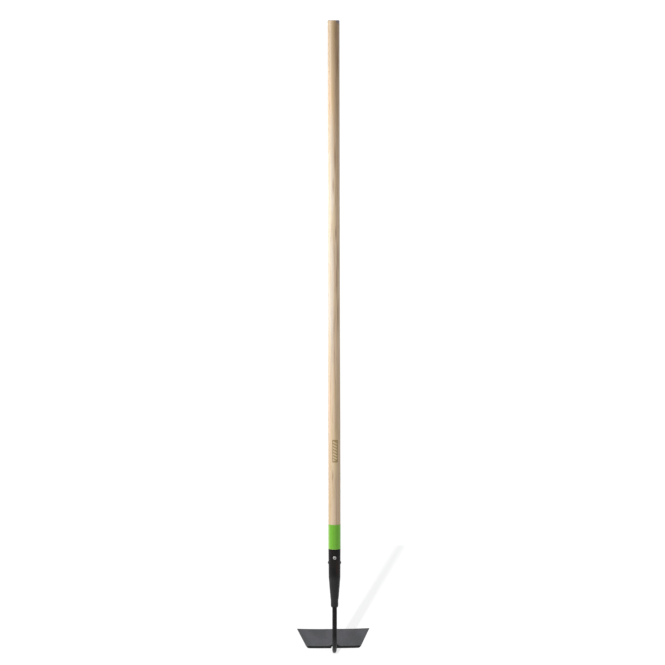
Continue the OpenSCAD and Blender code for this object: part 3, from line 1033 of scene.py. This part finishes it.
def make_blade(material):
    """Two grids, the upper and the lower face, joined by a rim of cross-sections."""
    rows, columns = sheet_rows(), sheet_columns()
    nr, nc = len(rows), len(columns)
    points = []

    def add(x, y, z):
        points.append(on_sheet(skewed(x, y), y, z))
        return len(points) - 1

    tops = [[None] * nc for _ in range(nr)]
    bottoms = [[None] * nc for _ in range(nr)]
    plan = {}
    for i, y in enumerate(rows):
        half = half_width(y, INSET)
        for j, column in enumerate(columns):
            x = column_x(column, half)
            plan[i, j] = (x, y)
            tops[i][j] = add(x, y, top_z(x, y))
            bottoms[i][j] = add(x, y, bottom_z(x, y))

    # The rim in order: shoulder, right side, cutting edge, left side
    rim = [(0, j) for j in range(nc)] + [(i, nc - 1) for i in range(1, nr)]
    rim += [(nr - 1, j) for j in range(nc - 2, -1, -1)] + [(i, 0) for i in range(nr - 2, 0, -1)]
    slant = math.atan2(EDGE_HALF - SHOULDER_HALF, DEPTH)
    sections = []
    for i, j in rim:
        x, y = plan[i, j]
        sign = 1 if x > 0 else -1
        if i == nr - 1 and j in (0, nc - 1):
            out = (sign * EDGE_HALF, DEPTH)
            fold = 0
        elif i == nr - 1:
            share = x / half_width(rows[-1], INSET)
            out = (share * EDGE_HALF if abs(x) > NEAR_RIB + 0.5 * MM else x, DEPTH)
            fold = 0
        elif i == 0:
            out = (x, 0)
            fold = smoothstep(FOLD_FROM, FOLD_TO, abs(x))
        else:
            turn = min(1.0, i / CORNER_STEPS)
            a = SIDE_ANGLE * turn
            out = (x + sign * INSET * math.sin(a), y - INSET * math.cos(a))
            if i > CORNER_STEPS:
                out = (x + sign * INSET * math.cos(slant), y - INSET * math.sin(slant))
            fold = 1 - smoothstep(0.15, 0.95, turn)
        sections.append(rim_section((x, y), out, fold, add))
    faces = []
    for i in range(nr - 1):
        for j in range(nc - 1):
            a, b = tops[i], tops[i + 1]
            faces.append((a[j], a[j + 1], b[j + 1], b[j]))
            a, b = bottoms[i], bottoms[i + 1]
            faces.append((a[j], b[j], b[j + 1], a[j + 1]))
    count = len(rim)
    for k in range(count):
        n = (k + 1) % count
        (i0, j0), (i1, j1) = rim[k], rim[n]
        here = [tops[i0][j0]] + sections[k] + [bottoms[i0][j0]]
        there = [tops[i1][j1]] + sections[n] + [bottoms[i1][j1]]
        for a in range(len(here) - 1):
            faces.append((here[a], here[a + 1], there[a + 1], there[a]))
    piece = new_piece("hoe_blade", points, faces, material, 50)
    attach(piece, "root")
    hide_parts("blade")


def rim_section(inner, outer, fold, add):
    """One cross-section of the blade's edge, from the upper grid's rim to the lower one's.
    fold is how far the edge is turned down there, 0 to 1."""
    full = math.hypot(outer[0] - inner[0], outer[1] - inner[1])

    def plan_at(inset):
        share = 1 - inset / full
        return lerp(inner[0], outer[0], share), lerp(inner[1], outer[1], share)

    top_here = top_z(*outer)
    thick = top_here - bottom_z(*outer)
    drop = lerp(thick, FLANGE_H + rib_z(*outer), fold)
    soft = lerp(min(0.45 * MM, thick * 0.4), 1.9 * MM, fold)
    foot = min(0.45 * MM, thick * 0.4)
    wall = SHEET_T
    out = []
    for i in range(7):
        a = math.pi / 2 * i / 6
        inset = soft * (1 - math.sin(a))
        x, y = plan_at(inset)
        out.append(add(x, y, top_z(x, y) - soft * (1 - math.cos(a))))
    for i in range(4):
        a = math.pi / 2 * i / 3
        x, y = plan_at(foot * (1 - math.cos(a)))
        out.append(add(x, y, top_here - drop + foot * (1 - math.sin(a))))
    extra = drop - thick
    for inset, share in ((wall - 0.5 * MM, 1.0), (wall - 0.12 * MM, 0.95), (wall, 0.84),
                         (wall, 0.26), (wall + 0.18 * MM, 0.08), (wall + 0.6 * MM, 0.0)):
        x, y = plan_at(inset)
        out.append(add(x, y, bottom_z(x, y) - extra * share))
    return out


def make_blade_welds(material):
    """Two rippled beads under the blade, one on each side of the neck's point."""
    start, end = Vector((7.4, 5.2, -0.9)) * MM, Vector((3.6, 29, -2.6)) * MM
    base_r = 3.2 * MM
    for side, name in ((1, "weld_bead_right"), (-1, "weld_bead_left")):
        rows, around = 120, 20
        points = []
        for i in range(rows):
            t = i / (rows - 1)
            centre = start.lerp(end, t)
            along = (end - start).normalized()
            flat = along.cross(Vector((0, 0, 1))).normalized()
            up = flat.cross(along)
            cap = math.sqrt(max(0.02, 1 - (abs(2 * t - 1)) ** 8))
            beat = abs(math.sin(math.pi * 9 * t + 0.4 * side))
            size = base_r * cap * (0.88 + 0.12 * beat + 0.05 * jitter((t, 0, side), 5, 2.2))
            for j in range(around):
                b = TAU * j / around
                p = centre + flat * (size * math.cos(b)) + up * (size * math.sin(b))
                points.append(on_sheet(side * p.x, p.y, p.z))
        piece = new_piece(name, points, tube_faces(rows, around), material, 60)
        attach(piece, "root")
        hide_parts("blade_weld")


# ---- floor, light, camera

FLOOR_RINGS = (0, 0.4, 0.8, 1.3, 1.9, 2.5, 3.0)
SEEN_WHITE = 1.05  # strength of the backdrop as the camera sees it
ROOM_LIGHT = 0.20  # strength of the light that it gives
ROOM_TINT = (0.95, 0.97, 1, 1)
SOFTBOX_AWAY = 2.0  # from the handle's axis
SOFTBOX_SIZE = 1.0


def make_floor():
    """A round floor; past its rim the backdrop goes on in the same white."""
    rings = FLOOR_RINGS
    around = 64
    points = [(0, 0, 0)]
    for r in rings[1:]:
        points += [(r * math.cos(TAU * j / around), r * math.sin(TAU * j / around), 0)
                   for j in range(around)]
    faces = [(0, 1 + j, 1 + (j + 1) % around) for j in range(around)]
    faces += loops_to_faces(len(rings) - 1, around, 1)
    mesh = bpy.data.meshes.new("studio_floor")
    mesh.from_pydata(points, [], faces)
    floor = bpy.data.objects.new("studio_floor", mesh)
    bpy.context.scene.collection.objects.link(floor)
    mesh.materials.append(pale_floor())
    floor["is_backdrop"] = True


def group(name, wanted):
    """A collection of the pieces whose names pass a test, for the lights to point at."""
    found = bpy.data.collections.new(name)
    for piece in bpy.data.objects:
        if piece.type == "MESH" and wanted(piece.name):
            found.objects.link(piece)
    return found


def hang(name, light, towards, only):
    """Puts a light in the scene, shining away from towards on one group of pieces."""
    lamp = bpy.data.objects.new(name, light)
    lamp.rotation_euler = towards.to_track_quat("Z", "Y").to_euler()
    bpy.context.scene.collection.objects.link(lamp)
    lamp.light_linking.receiver_collection = only
    return lamp


def add_sun(name, left, elevation, strength, spread, only, blockers=None):
    """A distant light; left is its angle from the front towards the left, and spread its
    width, in degrees. blockers is the group of pieces that shade it."""
    light = bpy.data.lights.new(name, "SUN")
    light.energy = strength
    light.angle = math.radians(spread)
    a, e = math.radians(left), math.radians(elevation)
    towards = Vector((-math.sin(a) * math.cos(e), -math.cos(a) * math.cos(e), math.sin(e)))
    sun = hang(name, light, towards, only)
    if blockers:
        sun.light_linking.blocker_collection = blockers


def add_softbox(name, left, height, aim_height, power, only):
    """A square studio light round the handle's axis, aimed at a height on the handle."""
    light = bpy.data.lights.new(name, "AREA")
    light.shape = "SQUARE"
    light.size = SOFTBOX_SIZE
    light.energy = power
    a = math.radians(left)
    place = Vector((-SOFTBOX_AWAY * math.sin(a), AXIS_Y - SOFTBOX_AWAY * math.cos(a), height))
    box = hang(name, light, place - Vector((0, AXIS_Y, aim_height)), only)
    box.location = place


def make_world():
    """White backdrop that gives less light than it shows."""
    world = bpy.data.worlds.new("studio")
    bpy.context.scene.world = world
    world.use_nodes = True
    nodes, links = world.node_tree.nodes, world.node_tree.links
    nodes.clear()
    output = nodes.new("ShaderNodeOutputWorld")
    seen = nodes.new("ShaderNodeBackground")
    seen.inputs["Color"].default_value = (1, 1, 1, 1)
    seen.inputs["Strength"].default_value = SEEN_WHITE
    room = nodes.new("ShaderNodeBackground")
    room.inputs["Color"].default_value = ROOM_TINT
    room.inputs["Strength"].default_value = ROOM_LIGHT
    pick = nodes.new("ShaderNodeMixShader")
    path = nodes.new("ShaderNodeLightPath")
    links.new(path.outputs["Is Camera Ray"], pick.inputs[0])
    links.new(room.outputs[0], pick.inputs[1])
    links.new(seen.outputs[0], pick.inputs[2])
    links.new(pick.outputs[0], output.inputs[0])


def make_light():
    """Soft light on the hoe alone, and a lamp on the floor for the shadow of the upright pieces."""
    hoe = group("hoe_pieces", lambda name: name != "studio_floor")
    floor = group("floor_only", lambda name: name == "studio_floor")
    upright_names = ("handle_wood", "green_band", "ferrule_socket", "neck_rod")
    standing = group("standing_pieces", lambda name: name in upright_names)
    add_sun("overhead_soft", left=20, elevation=78, strength=0.8, spread=80, only=hoe)
    add_sun("lamp_front", left=8.4, elevation=42.9, strength=0.85, spread=0.8,
            only=floor, blockers=standing)
    add_softbox("softbox_left", left=68, height=1.75, aim_height=1.40, power=50, only=hoe)
    add_softbox("rim_left", left=122, height=1.5, aim_height=1.0, power=14, only=standing)
    add_softbox("rim_right", left=-128, height=1.5, aim_height=1.0, power=6, only=standing)


CAMERA_AWAY = 7.0
CAMERA_HEIGHT = 1.4161
CAMERA_SIDE = math.radians(1.5)  # to the left of straight in front
CAMERA_ASIDE = -0.00275  # small step sideways, to centre the picture
LOOK_DOWN = math.radians(5.2)
ROLL = math.radians(0.10)
SENSOR_MM = 36
LENS_MM = 159.9
CLIP_END = 400


def make_camera():
    scene = bpy.context.scene
    data = bpy.data.cameras.new("camera")
    data.sensor_width = SENSOR_MM
    data.lens = LENS_MM
    data.clip_end = CLIP_END
    camera = bpy.data.objects.new("camera", data)
    scene.collection.objects.link(camera)
    right = Vector((math.cos(CAMERA_SIDE), -math.sin(CAMERA_SIDE), 0))
    ahead = Vector((math.sin(CAMERA_SIDE), math.cos(CAMERA_SIDE), 0))
    above = Vector((0, AXIS_Y, CAMERA_HEIGHT))
    camera.location = above + right * CAMERA_ASIDE - ahead * CAMERA_AWAY
    camera.rotation_mode = "XYZ"
    camera.rotation_euler = (math.pi / 2 - LOOK_DOWN, ROLL, -CAMERA_SIDE)
    scene.camera = camera
    scene.view_settings.view_transform = "Standard"


def main():
    wood = ash_wood()
    make_handle(wood)
    make_band(green_paint())
    make_ferrule(black_paint("black_paint_socket", grey=SOCKET_GREY, specular=0.2,
                             from_z=TAPER_Z + 12 * MM, to_z=TAPER_Z - 8 * MM, rust=True))
    make_front_rivet(steel("bright_steel", ZINC_DARK, ZINC_PALE, 0.26, 0.42, 900))
    make_cross_rivet(steel("dark_steel", RIVET_DARK, RIVET_PALE, 0.32, 0.5, 700))
    # The rod turns greyer round its bend: painted light from the floor below.
    rod = black_paint("black_paint_rod", grey=ROD_GREY_FLOOR_LIGHT, specular=0.18,
                      from_z=50 * MM, to_z=30 * MM)
    make_neck(rod)
    make_socket_weld(rod)
    make_blade_welds(rod)
    make_blade(grey_paint())
    make_floor()
    make_world()
    make_light()
    make_camera()


def write_size():
    plain = [[list(corner) for corner in box] for box in (cad_bounds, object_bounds())]


main()
write_size()
